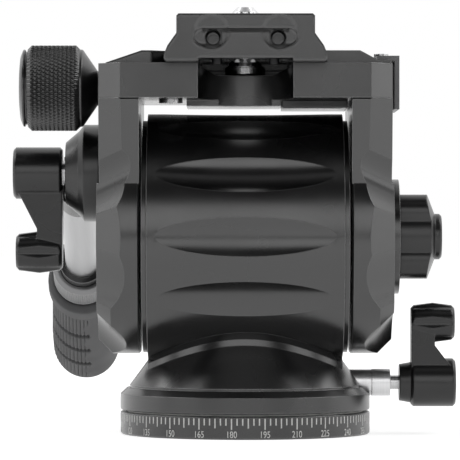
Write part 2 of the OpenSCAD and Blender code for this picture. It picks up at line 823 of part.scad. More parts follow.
module fixed_jaw() {
    color(black) difference() {
        rotate([90, 0, 0]) translate([0, 0, -jaw_half_l]) linear_extrude(2 * jaw_half_l) polygon([
            [lip_low_x, platform_top], [lip_low_x, lip_z], [lip_top_x, jaw_top],
            [lip_low_x + jaw_flat_w, jaw_top], [block_out - ledge_w, platform_top + ledge_h],
            [block_out - ledge_inset, platform_top + ledge_h], [block_out - ledge_inset, platform_top]]);
        at_jaw_screws() {
            translate([0, 0, platform_top - over]) cylinder(r = jaw_screw_r + seat, h = jaw_h + 2 * over);
            translate([0, 0, platform_top + jaw_screw_floor])
                cylinder(r = jaw_screw_head + seat, h = jaw_h + over);
        }
        at_leaf_screw() translate([0, 0, platform_top - over])
            cylinder(r = leaf_screw_r + seat, h = 2 * jaw_h);
    }
}

module fixed_jaw_screws() {
    color(silver) at_jaw_screws() {
        translate([0, 0, platform_top - jaw_screw_depth + seat])
            cylinder(r = jaw_screw_r, h = jaw_screw_depth + jaw_screw_floor);
        translate([0, 0, platform_top + jaw_screw_floor + seat])
            socket_head(jaw_screw_head, jaw_h - jaw_screw_floor - jaw_screw_sink);
    }
}

module guide_pins() {
    outer = guide_wall + guide_end_gap - block_out;
    color(silver) at_guides() x_bar(guide_r, outer, guide_root - pocket_in - seat);
}

leaf_gap = 0.2;
leaf_x = side_out + leaf_gap;
leaf_half_l = 14;
leaf_drop = 2.3;
leaf_root = 3.3;
leaf_screw_r = 1;
leaf_screw_in = 1.8;
leaf_screw_depth = 3;
leaf_screw_head = 1.75;
leaf_screw_head_h = 1;
leaf_low = platform_z - leaf_drop;
leaf_seat_z = platform_top + ledge_h;
module at_leaf_screw() { translate([block_out - leaf_screw_in, 0, 0]) children(); }
module side_leaf() {
    color("dimgray") difference() {
        union() {
            translate([leaf_x, -leaf_half_l, leaf_low])
                cube([leaf_t, 2 * leaf_half_l, leaf_seat_z + leaf_t - leaf_low]);
            translate([block_out - leaf_root, -leaf_half_l, leaf_seat_z])
                cube([leaf_x - block_out + leaf_root + leaf_t / 2, 2 * leaf_half_l, leaf_t]);
        }
        at_leaf_screw() translate([0, 0, leaf_seat_z - over])
            cylinder(r = leaf_screw_r + seat, h = leaf_t + 2 * over);
    }
}

module side_leaf_screw() {
    color(silver) at_leaf_screw() {
        translate([0, 0, platform_top - leaf_screw_depth + seat])
            cylinder(r = leaf_screw_r, h = leaf_screw_depth + ledge_h + leaf_t);
        translate([0, 0, leaf_seat_z + leaf_t]) cylinder(r = leaf_screw_head, h = leaf_screw_head_h);
    }
}

cover_gap = 0.2;
cover_inset = 0.6;
cover_t = 1.9;
cover_left = boss_right + cover_gap;
cover_right = side_in - cover_inset;
cover_front = boss_front + 2;
cover_l = 1.4 * jaw_half_l;
module underside_cover() {
    color(black) translate([cover_left, -cover_front, platform_z - cover_t])
        cube([cover_right - cover_left, cover_l, cover_t]);
}

stop_screw_r = 1.25;
stop_screw_in = 0.5;
stop_screw_head = 2.8;
stop_screw_head_h = 0.9;
stop_screw_xy = [-pocket_in - 4.7, -0.7 * jaw_half_l];
module at_stop_screw() { translate([stop_screw_xy.x, stop_screw_xy.y, 0]) children(); }
module jaw_stop_screw() {
    color(silver) at_stop_screw() translate([0, 0, platform_z - stop_screw_head_h]) {
        cylinder(r = stop_screw_head, h = stop_screw_head_h);
        cylinder(r = stop_screw_r, h = stop_screw_head_h + stop_screw_in - run);
    }
}

// Tilt lock

tilt_knob_in = side_out + knob_disc_t + run;
tilt_knob_face_t = 2;
module tilt_lock_knob() {
    lobe_r = 4.4;
    web_r = 0.74 * tilt_knob_r;
    hub = tilt_knob_r / 2;
    skirt = 0.6 * tilt_knob_l;
    slope = 0.24 * tilt_knob_l;
    edge = 0.5;
    color(black) at_tilt() translate([tilt_knob_in, 0, 0]) difference() {
        intersection() {
            rotate([90, 0, 90]) linear_extrude(tilt_knob_l) {
                circle(r = web_r);
                for (lobe = [-60, 60, 180])
                    rotate(-lobe) translate([lobe_r - tilt_knob_r, 0]) circle(r = lobe_r);
            }
            rotate([0, 90, 0]) rotate_extrude() polygon([
                [0, 0], [tilt_knob_r + over, 0], [tilt_knob_r + over, skirt], [hub, skirt + slope],
                [hub, tilt_knob_l - edge], [hub - edge, tilt_knob_l], [0, tilt_knob_l]]);
        }
        x_bar(stud_r + seat, -over, tilt_knob_l - tilt_knob_face_t);
    }
}

module tilt_lock_stud() {
    outer = tilt_knob_in + tilt_knob_l - tilt_knob_face_t - lever_stud_gap;
    color(silver) at_tilt() x_bar(stud_r, side_in - tilt_stud_depth, outer);
}

// Moving jaw with its knob and screw

jaw_in = pocket_in + clear;
jaw_floor = pocket_z + jaw_room;
jaw_slope_in = 1.6;
jaw_slope_up = 0.3;
jaw_foot_in = 1.2;
jaw_ramp_w = 5.4;
jaw_corner = 3;
// Part of the jaw above the platform, closed on the plate, with its inner corners cut off
module jaw_lip() {
    corner_x = -lip_low_x - jaw_corner;
    difference() {
        rotate([90, 0, 0]) translate([0, 0, -jaw_half_l]) linear_extrude(2 * jaw_half_l) polygon([
            [-lip_low_x, platform_top - over], [-lip_low_x, lip_z], [-lip_top_x, jaw_top],
            [-lip_low_x - jaw_ramp_w, jaw_top], [jaw_slope_in - block_out, platform_top + jaw_slope_up],
            [jaw_foot_in - block_out, platform_top - over]]);
        for (end = [0, 1]) mirror([0, end, 0]) translate([corner_x, -jaw_half_l, platform_top - 2 * over])
            rotate(-45) translate([0, -jaw_corner, 0])
                cube([3 * jaw_corner, 5 * jaw_corner, 2 * jaw_h + 2 * over]);
    }
}

module moving_jaw() {
    color(black) difference() {
        union() {
            translate([-block_out, -jaw_half_l, jaw_floor])
                cube([block_out - jaw_in, 2 * jaw_half_l, platform_top - run - jaw_floor]);
            jaw_lip();
        }
        at_clamp() x_bar(clamp_screw_r + run, -block_out - over, 0);
        at_guides() x_bar(guide_r + run, guide_wall - block_out, 0);
    }
}

knob_gap = 0.4;
knob_flare_l = 4.3;
knob_shoulder_l = 0.5;
knob_rim_l = 2;
knob_face_t = 4;
knob_neck = 4.1;
knob_shoulder = knob_r - 1;
knob_in = block_out + knob_gap;
knob_flare = knob_in + knob_flare_l;
knob_band = knob_flare + knob_shoulder_l;
knob_out = knob_band + knob_l + knob_rim_l;
knob_bore_end = knob_out - knob_face_t;
module clamp_knob() {
    edge = 0.6;
    color(black) at_clamp() rotate([0, -90, 0]) rotate_extrude() polygon([
        [clamp_screw_r + seat, knob_in], [knob_neck, knob_in], [knob_shoulder, knob_flare],
        [knob_shoulder, knob_band],
        [knob_r - edge, knob_band], [knob_r, knob_band + edge], [knob_r, knob_band + knob_l - edge],
        [knob_r - edge, knob_band + knob_l], [knob_shoulder, knob_band + knob_l],
        [knob_shoulder, knob_out - edge], [knob_shoulder - edge, knob_out], [0, knob_out],
        [0, knob_bore_end], [clamp_screw_r + seat, knob_bore_end]]);
}

module clamp_screw() {
    color(silver) at_clamp() x_bar(clamp_screw_r, lever_stud_gap - knob_bore_end, -clamp_end - clear);
}

// Camera plate

recess_half = 11;
recess_d = 2.35;
recess_wall = 6.5;
recess_lip = 0.7;
recess_z = plate_z + recess_d;
strap_half = 12;
strap_r = 1.95;
strap_d = 1;
strap_up = 5.6;
strap_z = plate_z + strap_up;
strap_bar = 5.5;
strap_hole_x = 7.6;
strap_hole_r = 1.8;
strap_hole_d = 9;
slit_w = 0.6;
slit_d = 1.6;
dish_x = 7.9;
dish_up = 1.2;
dish_r = 4.1;
dish_d = 0.35;
slot_half_w = 2.9;
slot_half_l = 15;
pin_x = 6.7;
pin_inset = 9;
pin_y = plate_l / 2 - pin_inset;
pin_r = 1.2;
pin_root = 3.3;
pin_drop = 0.45;
module at_stop_pins() {
    for (x = [-1, 1]) translate([x * pin_x, -pin_y, 0]) children();
}

module plate_section() {
    edge = 0.5;
    difference() {
        translate([-plate_half, plate_z]) square([plate_w, plate_h]);
        for (side = [0, 1]) mirror([side, 0]) {
            polygon([[plate_top_w / 2, cove_top], [cove_mid_x, cove_mid], [plate_half, cove_low],
                [plate_w, cove_low], [plate_w, cove_top]]);
            translate([plate_top_w / 2, cove_top]) square([plate_w, plate_h]);
            polygon([[plate_top_w / 2 - edge, plate_top], [plate_top_w / 2 + over, plate_top - edge - over],
                [plate_top_w / 2 + over, plate_top + over], [plate_top_w / 2 - edge, plate_top + over]]);
            polygon([[plate_half - edge, plate_z], [plate_half + over, plate_z + edge + over],
                [plate_half + over, plate_z - over], [plate_half - edge, plate_z - over]]);
        }
    }
}

// Recess under the plate for the camera screw: open in front under a lip, closed at the rear
module plate_recess() {
    long = plate_l - 2 * recess_wall;
    translate([-recess_half, -long / 2, plate_z - over]) cube([2 * recess_half, long, recess_d + over]);
    translate([-recess_half, -plate_l / 2 - over, plate_z - over])
        cube([2 * recess_half, plate_l / 2, recess_lip + over]);
}

// Strap seat in one end face: two dished pockets with deep holes, a bar between them and a slit over the bar
module strap_recess() {
    flat = strap_half - strap_r;
    translate([0, -plate_l / 2, strap_z]) rotate([90, 0, 0]) {
        for (side = [0, 1]) mirror([side, 0, 0]) {
            translate([flat, 0, -strap_d]) cylinder(r = strap_r, h = strap_d + over);
            translate([strap_bar, -strap_r, -strap_d]) cube([flat - strap_bar, 2 * strap_r, strap_d + over]);
            translate([strap_hole_x, 0, -strap_hole_d]) cylinder(r = strap_hole_r, h = strap_hole_d);
            translate([dish_x, dish_up, -dish_d])
                cylinder(r1 = dish_r - dish_d, r2 = dish_r + over, h = dish_d + over);
        }
        translate([-flat, strap_r - slit_w, -slit_d]) cube([2 * flat, slit_w, slit_d + over]);
    }
}

module camera_plate() {
    color(black) difference() {
        rotate([90, 0, 0]) translate([0, 0, -plate_l / 2]) linear_extrude(plate_l) plate_section();
        plate_recess();
        for (side = [0, 1]) mirror([0, side, 0]) strap_recess();
        translate([-slot_half_w, -slot_half_l, plate_z])
            cube([2 * slot_half_w, 2 * slot_half_l, plate_h + over]);
        for (y = [-1, 1])
            translate([0, y * slot_half_l, plate_z]) cylinder(r = slot_half_w, h = plate_h + over);
        at_stop_pins() translate([0, 0, plate_z]) cylinder(r = pin_r + seat, h = pin_root + seat);
    }
}

module plate_stop_pins() {
    color("dimgray") at_stop_pins() translate([0, 0, plate_z - pin_drop])
        cylinder(r = pin_r, h = pin_drop + pin_root);
}

camera_tip = 1.2;
camera_neck_gap = 0.8;
camera_rim_h = 2.1;
camera_shoulder = 0.7;
camera_taper = 0.3;
coin_slot_w = 1.2;
coin_slot_d = 1.2;
camera_head_h = 3.1;
module camera_screw() {
    edge = 0.3;
    head_z = channel_z + clear;
    rim_z = head_z + camera_rim_h;
    neck_r = slot_half_w - camera_neck_gap;
    shoulder_r = camera_head_r - camera_shoulder;
    tip_z = plate_top + camera_len;
    color(silver) difference() {
        rotate_extrude() polygon([
            [0, head_z], [camera_head_r - edge, head_z], [camera_head_r, head_z + edge],
            [camera_head_r, rim_z - edge], [camera_head_r - edge, rim_z], [shoulder_r, rim_z],
            [shoulder_r - camera_taper, head_z + camera_head_h], [neck_r, recess_z - clear],
            [neck_r, plate_top + run], [camera_r, plate_top + run], [camera_r, tip_z - camera_tip],
            [camera_r - camera_tip, tip_z], [0, tip_z]]);
        translate([-camera_head_r - over, -coin_slot_w / 2, head_z - over])
            cube([2 * (camera_head_r + over), coin_slot_w, over + coin_slot_d]);
    }
}

// Handle

hub_straight = 3.9;
hub_dome = 4.5;
hub_out = hub_x + hub_straight + hub_dome;
hub_end_r = 7.5;
lug_r = 5.2;
lug_end = 22;
lug_flat = 12;
hub_round = 1.6;
hub_round_l = 1.3;
tube_wall = 1.2;
tube_lap = 32;
tube_in = lug_flat + 1;
tube_out = nose_at + tube_lap;
module handle_hub() {
    color(black) difference() {
        union() {
            at_handle_pivot() rotate([0, -90, 0]) rotate_extrude() polygon([
                [0, hub_x], [hub_r, hub_x], [hub_r, hub_x + hub_straight],
                [hub_r - hub_round, hub_x + hub_straight + hub_round_l], [hub_end_r, hub_out], [0, hub_out]]);
            at_handle() translate([0, 0, lug_flat]) cylinder(r = lug_r, h = lug_end - lug_flat);
            intersection() {
                at_handle() cylinder(r = lug_r, h = lug_flat + over / 2);
                at_handle_pivot() translate([-hub_out - over / 2, -hub_r, -hub_r])
                    cube([hub_dome + hub_straight, 4 * hub_r, 2 * hub_r]);
            }
        }
        at_handle_pivot() x_bar(stud_r + run, -hub_out - over, over - hub_x);
        at_handle() translate([0, 0, tube_in]) cylinder(r = tube_r + seat, h = lug_end);
    }
}

module handle_tube() {
    color(silver) at_handle() z_ring(tube_r, tube_r - tube_wall, tube_in + seat, tube_out);
}

nose_r = 6;
nose_collar = 4;
ring_gap = 0.4;
ring_front_gap = 0.1;
ring_bevel = 1;
ring_at = nose_at + nose_collar;
grip_at = ring_at + ring_l + ring_gap;
core_r = 7.4;
core_room = 4;
core_out = tube_out + grip_travel + core_room;
module grip_sleeve() {
    color(black) at_handle() difference() {
        union() {
            translate([0, 0, nose_at]) cylinder(r = nose_r, h = grip_at - nose_at + over);
            translate([0, 0, grip_at]) cylinder(r = core_r, h = core_out - grip_at);
        }
        translate([0, 0, nose_at - over]) cylinder(r = tube_r + run, h = core_out - nose_at + 2 * over);
    }
}

module twist_lock_ring() {
    edge = 0.5;
    inner = nose_r + run;
    low = ring_at + ring_front_gap;
    high = ring_at + ring_l;
    color(silver) at_handle() rotate_extrude() polygon([
        [inner, low], [ring_r - ring_bevel, low], [ring_r, low + ring_bevel], [ring_r, high - edge],
        [ring_r - edge, high], [inner, high]]);
}

// Rubber grip: front flange, a groove, then a body that swells to the rear with shallow round grooves
grip_edge = 1;
grip_front = grip_at + 0.5;
grip_flange_l = 10;
grip_neck_r = grip_flange_r - grip_edge;
grip_neck_l = 9.5;
grip_swell_l = 40;
grip_end = grip_at + grip_l;
grip_back = grip_end - 1;
grip_back_l = 3;
grip_back_r = 1.4;
groove_count = 3;
groove_pitch = 15.5;
groove_first = grip_at + 33;
groove_r = 0.9;
groove_out = 0.2;
module rubber_grip() {
    inner = core_r + seat;
    flange_back = grip_front + grip_flange_l;
    neck_at = flange_back + 2 * grip_edge;
    neck_end = neck_at + grip_neck_l;
    color("dimgray") at_handle() difference() {
        rotate_extrude() polygon([
            [inner, grip_front], [grip_neck_r, grip_front], [grip_flange_r, grip_front + grip_edge],
            [grip_flange_r, flange_back], [grip_neck_r, flange_back + grip_edge], [grip_neck_r, neck_end],
            [grip_flange_r, neck_end + grip_swell_l], [grip_flange_r, grip_back - grip_back_l],
            [grip_flange_r - grip_back_r, grip_back], [inner, grip_back]]);
        for (i = [0:groove_count - 1]) translate([0, 0, groove_first + groove_pitch * i]) rotate_extrude()
            translate([grip_flange_r + groove_out, 0]) circle(r = groove_r, $fn = 32);
    }
}

cap_plug_gap = 0.1;
cap_lip = 1.5;
cap_round = 2.4;
cap_flat = 5;
cap_round_l = 1.6;
cap_l = 2.3;
module grip_end_cap() {
    plug_r = core_r - cap_plug_gap;
    color(black) at_handle() rotate_extrude() polygon([
        [0, core_out + run], [plug_r, core_out + run], [plug_r, grip_back + seat],
        [grip_flange_r - cap_lip, grip_back + seat], [grip_flange_r - cap_round, grip_back + cap_round_l],
        [grip_flange_r - cap_flat, grip_back + cap_l], [0, grip_back + cap_l]]);
}

handle_lever_w = 11.9;
handle_lever_hub = 6.3;
handle_lever_end_r = 5.1;
handle_lever_end_w = handle_lever_w - 0.6;
handle_lever_gap = 0.85;
handle_lever_in = hub_out + handle_lever_gap;
module handle_lock_lever() {
    color(black) at_handle_pivot() translate([-handle_lever_in, 0, 0]) rotate([0, 180, 0])
        lever(handle_lever_w, handle_lever_hub, handle_lever_reach, handle_lever_end_w, handle_lever_end_r,
            stud_r + seat);
}

module handle_lock_stud() {
    outer = lever_face_t + lever_stud_gap - handle_lever_in - handle_lever_w;
    color(silver) at_handle_pivot() x_bar(stud_r, outer, handle_stud_depth - side_out - clear);
}

base_disc();
pan_spindle();
pan_fluid_rotor();
pan_brake_drum();
pan_housing();
pan_glide_ring();
pan_fluid_plate();
drum_shell();
drum_screws();
left_drum_cap();
right_drum_cap();
tilt_bearings();
tilt_stator();
tilt_thrust_washers();
counterbalance_spring();
pan_lock_sleeve();
pan_lock_stud();
pan_lock_collar();
pan_lock_lever();
pan_brake_shoe();
left_side_plate();
right_side_plate();
tilt_shaft();
tilt_rotor();
tilt_knob_disc();
handle_friction_disc();
platform();
platform_screws();
fixed_jaw();
fixed_jaw_screws();
guide_pins();
side_leaf();
side_leaf_screw();
underside_cover();
jaw_stop_screw();
tilt_lock_knob();
tilt_lock_stud();
moving_jaw();
clamp_knob();
clamp_screw();
camera_plate();
plate_stop_pins();
camera_screw();
handle_hub();
handle_tube();
grip_sleeve();
rubber_grip();
grip_end_cap();
twist_lock_ring();
handle_lock_lever();
handle_lock_stud();
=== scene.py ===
# %% [markdown]
# # A fluid video head in the studio
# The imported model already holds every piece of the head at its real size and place, in metres: the base
# is at the origin, the front looks along -Y and +Z is up. This lesson keeps those solids as a fixed
# frame, gives each of them a finish made of shader nodes, and adds the surfaces that are too fine for a
# solid model: smooth flutes, a knurl, teeth, ribs, and the white marks of the dial.

# %% Load the frame
import json

import bmesh
import bpy
import numpy as np
from mathutils import Matrix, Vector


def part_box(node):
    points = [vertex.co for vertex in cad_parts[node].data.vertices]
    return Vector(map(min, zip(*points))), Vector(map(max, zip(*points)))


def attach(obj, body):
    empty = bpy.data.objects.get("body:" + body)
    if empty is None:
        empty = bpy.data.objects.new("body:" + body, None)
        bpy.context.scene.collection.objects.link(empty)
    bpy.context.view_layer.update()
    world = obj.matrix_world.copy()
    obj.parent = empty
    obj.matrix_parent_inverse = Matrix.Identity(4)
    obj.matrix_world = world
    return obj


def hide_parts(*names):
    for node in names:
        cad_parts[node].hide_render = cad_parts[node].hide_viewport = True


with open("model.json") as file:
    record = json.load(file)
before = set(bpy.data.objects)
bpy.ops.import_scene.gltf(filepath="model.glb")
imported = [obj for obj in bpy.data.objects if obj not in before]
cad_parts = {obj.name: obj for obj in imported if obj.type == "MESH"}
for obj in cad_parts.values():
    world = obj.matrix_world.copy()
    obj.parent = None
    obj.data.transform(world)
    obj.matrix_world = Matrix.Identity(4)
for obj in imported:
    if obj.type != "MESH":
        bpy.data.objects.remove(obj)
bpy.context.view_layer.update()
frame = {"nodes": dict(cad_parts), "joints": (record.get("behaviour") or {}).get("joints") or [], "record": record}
joints = {joint["name"]: joint for joint in frame["joints"]}
MM = 0.001

# %% [markdown]
# ## From formulas to meshes
# Every new piece here is a grid of points that a formula gives, so one helper can join neighbouring
# points into four-sided faces, and a second can turn points and faces into an object. Working on whole
# arrays is short and quick, and a formula is easier to change than a modelled shape. Doubled points at
# seams and poles are merged before the faces are turned outward.

# %% Grids and pieces
SAME_POINT, NO_LENGTH = 1e-7, 1e-8


def grid_faces(rows, columns, wrap_rows=True):
    """Faces between the neighbours of a grid whose columns close on themselves, and whose rows may."""
    i = np.arange(rows if wrap_rows else rows - 1)[:, None]
    j = np.arange(columns)[None, :]
    below, right = (i + 1) % rows, (j + 1) % columns
    corners = (i * columns + j, i * columns + right, below * columns + right, below * columns + j)
    return np.stack(np.broadcast_arrays(*corners), axis=-1).reshape(-1, 4)


def make_piece(name, points, faces, finish, body, stands_for=(), crease=40):
    """A merged, outward-facing mesh that rides on a body; edges sharper than the crease stay sharp."""
    mesh = bpy.data.meshes.new(name)
    mesh.from_pydata(np.asarray(points).reshape(-1, 3).tolist(), [], np.asarray(faces).tolist())
    tidy_mesh(mesh, crease)
    piece = bpy.data.objects.new(name, mesh)
    bpy.context.scene.collection.objects.link(piece)
    mesh.materials.append(finish)
    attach(piece, body)
    if stands_for:
        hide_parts(*stands_for)
    print(f"{name}: {len(mesh.vertices)} points, {len(mesh.polygons)} faces, rides on {body}")


def tidy_mesh(mesh, crease):
    """Merges doubled points, turns the faces outward and shades them smooth up to the crease angle."""
    work = bmesh.new()
    work.from_mesh(mesh)
    bmesh.ops.remove_doubles(work, verts=work.verts, dist=SAME_POINT)
    bmesh.ops.dissolve_degenerate(work, edges=work.edges, dist=NO_LENGTH)
    bmesh.ops.recalc_face_normals(work, faces=work.faces)
    work.to_mesh(mesh)
    work.free()
    mesh.shade_smooth()
    mesh.set_sharp_from_angle(angle=np.radians(crease))


# %% [markdown]
# ## Turning on a lathe
# Knobs, rings and tubes are turned parts. A profile of radius against distance is carried round an axis,
# and `rounded` first breaks its corners with small curves, as a lathe tool does. The radius may also
# depend on the angle, which is all that a knurl, a tooth or a rib needs.

# %% Lathe helpers
UP = (0, 0, 1)


def unit(vector):
    """The vector at length one."""
    return np.asarray(vector, float) / np.linalg.norm(vector)


def lathe_frame(origin, along):
    """Origin and three directions: to the side, up, and along the axis."""
    along = unit(along)
    side = unit(np.cross(along, UP))
    return np.asarray(origin, float), side, np.cross(side, along), along


def rounded(corners, cut, steps=5):
    """Replaces each inner corner by a quadratic curve that leaves and meets its sides a cut away from it."""
    p = np.asarray(corners, float)
    before, after = p[:-2] - p[1:-1], p[2:] - p[1:-1]
    len_before = np.linalg.norm(before, axis=1, keepdims=True)
    len_after = np.linalg.norm(after, axis=1, keepdims=True)
    start = p[1:-1] + before / len_before * np.minimum(cut, 0.45 * len_before)
    end = p[1:-1] + after / len_after * np.minimum(cut, 0.45 * len_after)
    t = np.linspace(0, 1, steps)[None, :, None]
    curve = (1 - t) ** 2 * start[:, None] + 2 * t * (1 - t) * p[1:-1, None] + t ** 2 * end[:, None]
    return np.vstack([p[:1], curve.reshape(-1, 2), p[-1:]])


def spread(profile, step):
    """The same profile with extra points, so that no side of it is longer than a step."""
    p = np.asarray(profile, float)
    length = np.concatenate([[0], np.cumsum(np.linalg.norm(np.diff(p, axis=0), axis=1))])
    places = np.union1d(length, np.arange(0, length[-1], step))
    return np.stack([np.interp(places, length, p[:, 0]), np.interp(places, length, p[:, 1])], axis=1)


def turned(lathe, profile, sides=160, relief=None):
    """Points r(cos t side + sin t up) + h along for each profile point (r, h), with relief(t, h, r) added."""
    origin, side, up, along = lathe
    angle = 2 * np.pi * np.arange(sides) / sides
    radius = np.repeat(profile[:, :1], sides, axis=1)
    height = np.repeat(profile[:, 1:], sides, axis=1)
    if relief is not None:
        radius = radius + relief(angle[None, :], height, radius)
    round_part = np.cos(angle)[None, :, None] * side + np.sin(angle)[None, :, None] * up
    points = origin + radius[..., None] * round_part + height[..., None] * along
    return points, grid_faces(len(profile), sides, wrap_rows=False)


def wave(turns):
    """A triangle wave: 0 at whole turns, 1 half way between them."""
    return 1 - np.abs(2 * (turns % 1) - 1)


# %% [markdown]
# ## The camera
# The photograph is taken level and from nearly a metre away, so the sides of the head hardly converge.
# The spacing of the dial's ticks toward the edges of the base gave the distance, and the photograph's
# width in millimetres at the pan axis then gives the lens.

# %% Camera
CAMERA_SPOT = (-3.64 * MM, -906 * MM, 49.0 * MM)
FRAME_WIDTH = 110.95 * MM
SENSOR = 36.0
camera_data = bpy.data.cameras.new("camera")
camera_data.sensor_width = SENSOR
camera_data.lens = SENSOR * -CAMERA_SPOT[1] / FRAME_WIDTH
camera_data.clip_start = 0.01
camera = bpy.data.objects.new("camera", camera_data)
camera.location = CAMERA_SPOT
camera.rotation_euler = (np.pi / 2, 0, 0)
bpy.context.scene.collection.objects.link(camera)
bpy.context.scene.camera = camera
print(f"camera: lens {camera_data.lens:.1f} mm at {-CAMERA_SPOT[1]:.3f} m")


# %% [markdown]
# ## Nodes in one line each
# A finish is a small graph of shader nodes. This helper adds one node, sets its properties, and either
# stores a value in an input or links another node's output to it, so that a material reads from top to
# bottom like a recipe. Values that are the same all over stay on the shader's own sockets.

# %% Node helpers
def new_finish(name, **sockets):
    """A material whose shader holds the given constant values; Specular_IOR_Level means that socket."""
    material = bpy.data.materials.new(name)
    material.use_nodes = True
    shader = material.node_tree.nodes["Principled BSDF"]
    for socket, value in sockets.items():
        shader.inputs[socket.replace("_", " ")].default_value = value
    return material


def node(material, kind, inputs=None, **settings):
    """One shader node: settings are its properties, inputs are values or the sockets to link."""
    made = material.node_tree.nodes.new("ShaderNode" + kind)
    for key, value in settings.items():
        setattr(made, key, value)
    for key, value in (inputs or {}).items():
        if isinstance(value, bpy.types.NodeSocket):
            material.node_tree.links.new(value, made.inputs[key])
        else:
            made.inputs[key].default_value = value
    return made


def feed(material, socket, output):
    """Links an output to a socket of the material's shader."""
    shader = material.node_tree.nodes["Principled BSDF"]
    material.node_tree.links.new(output, shader.inputs[socket])


def between(material, value, low, high, bottom=0.0, top=1.0):
    """The value mapped from the range low to high onto the range bottom to top, and held there outside it."""
    limits = {"Value": value, "From Min": low, "From Max": high, "To Min": bottom, "To Max": top}
    return node(material, "MapRange", limits).outputs["Result"]


NOISE_LOW, NOISE_HIGH = 0.3, 0.7


def by_noise(material, noise, bottom=0.0, top=1.0):
    """Noise, which hardly leaves its middle, mapped onto the range bottom to top."""
    return between(material, noise, NOISE_LOW, NOISE_HIGH, bottom, top)


def combined(material, operation, first, second):
    """One number made of two by a math node."""
    return node(material, "Math", {0: first, 1: second}, operation=operation).outputs[0]


def mixed(material, share, first, second):
    """A colour between two others."""
    return node(material, "MixRGB", {"Fac": share, "Color1": first, "Color2": second}).outputs["Color"]


def grain(material, scale, detail=2.0, stretch=(1, 1, 1)):
    """Noise in object space with about scale spots to the metre, stretched by a mapping."""
    place = node(material, "TexCoord").outputs["Object"]
    if stretch != (1, 1, 1):
        place = node(material, "Mapping", {"Vector": place, "Scale": stretch}).outputs["Vector"]
    return node(material, "TexNoise", {"Vector": place, "Scale": scale, "Detail": detail}).outputs["Fac"]


def rounded_normal(material, radius):
    """The surface normal as if every edge were rounded to a radius."""
    return node(material, "Bevel", {"Radius": radius}, samples=8).outputs["Normal"]


EDGE_BEGINS, EDGE_FULL = 0.985, 0.80


def edge_mask(material, soft):
    """1 where the rounded normal leans away from the true one, at edges, by the cosine between the two."""
    true = node(material, "NewGeometry").outputs["Normal"]
    lean = node(material, "VectorMath", {0: soft, 1: true}, operation="DOT_PRODUCT").outputs["Value"]
    return between(material, lean, EDGE_BEGINS, EDGE_FULL)


def bumped(material, height, distance, normal=None):
    """A bump of the given height in metres over a normal."""
    inputs = {"Height": height, "Distance": distance, "Strength": 1.0}
    if normal is not None:
        inputs["Normal"] = normal
    return node(material, "Bump", inputs).outputs["Normal"]


# %% [markdown]
# ## Black anodised aluminium
# The machined pieces are bead-blasted and then dyed black, so they are dark, slightly rough and never
# quite even: the grain scatters the light, broad patches are a little shinier, and every edge is broken.
# A lighter colour is painted along the edges as a painted highlight; the edge line comes from comparing a
# rounded normal with the true one, which works on any solid without changing its mesh.

# %% Black finishes
PATCHES_PER_M, GRIT_PER_M, GRIT_HEIGHT = 45, 4200, 0.005 * MM
ROUGH_SWING = 0.05


def blasted_black(name, tone, rough, edge_highlight_tone=0.03, edge=0.3 * MM, grit=1.0, shine=1.0):
    """Dyed metal: blasted grain as bump, patchy shine, rounded edges, and a painted highlight along them."""
    black = (tone, tone, tone * 1.06, 1)
    # A lighter colour for the edges: a painted highlight.
    painted_edge_highlight = (edge_highlight_tone, edge_highlight_tone, edge_highlight_tone, 1)
    material = new_finish(name, Specular_IOR_Level=shine)
    soft = rounded_normal(material, edge)
    patches = grain(material, PATCHES_PER_M, detail=3)
    fine = grain(material, GRIT_PER_M)
    dust = tuple(1.5 * c for c in black[:3]) + (1,)
    dusty = mixed(material, by_noise(material, fine), black, dust)
    # The edge mask mixes the painted edge highlight into the base colour.
    feed(material, "Base Color", mixed(material, edge_mask(material, soft), dusty, painted_edge_highlight))
    feed(material, "Roughness", by_noise(material, patches, rough - ROUGH_SWING, rough + ROUGH_SWING))
    feed(material, "Normal", bumped(material, fine, GRIT_HEIGHT * grit, soft))
    return material


# edge_highlight_tone sets how light the painted edge highlight is on each finish.
anodised_black = blasted_black("anodised_black", tone=0.003, rough=0.25, edge_highlight_tone=0.35)
rounded_black = blasted_black("rounded_black", tone=0.003, rough=0.25, edge_highlight_tone=0.06, edge=1.1 * MM)
knurled_black = blasted_black("knurled_black", tone=0.003, rough=0.30, edge=0.05 * MM)
cast_black = blasted_black("cast_black", tone=0.004, rough=0.28, edge=0.6 * MM, grit=1.4, shine=0.6)
sheet_grey = blasted_black("sheet_grey", tone=0.06, rough=0.42, edge_highlight_tone=0.2, edge=0.2 * MM)
print("black finishes:", anodised_black.name, rounded_black.name, knurled_black.name, cast_black.name,
      sheet_grey.name)


# %% [markdown]
# ## Bare metals
# The tube, the pan-lock sleeve and the twist ring are satin silver of different tones, with fine lines.
# Screws are plainer steel and the camera screw is polished. Noise that changes quickly along X and slowly
# the other two ways makes the lines, and the same noise moves the colour and the roughness a little.

# %% Metal finishes
LINES_PER_M, LINE_STRETCH, METAL_EDGE = 2600, (1, 0.03, 0.03), 0.2 * MM


def satin_metal(name, tone, rough, depth=0.004 * MM):
    """Bare metal with fine lines across X, and rounded edges."""
    material = new_finish(name, Metallic=1.0)
    streaks = grain(material, LINES_PER_M, detail=3, stretch=LINE_STRETCH)
    dull = (tone * 0.92, tone * 0.92, tone * 0.93, 1)
    bright = (tone, tone, tone * 1.01, 1)
    feed(material, "Base Color", mixed(material, by_noise(material, streaks), dull, bright))
    feed(material, "Roughness", by_noise(material, streaks, rough - ROUGH_SWING, rough + ROUGH_SWING))
    feed(material, "Normal", bumped(material, streaks, depth, rounded_normal(material, METAL_EDGE)))
    return material


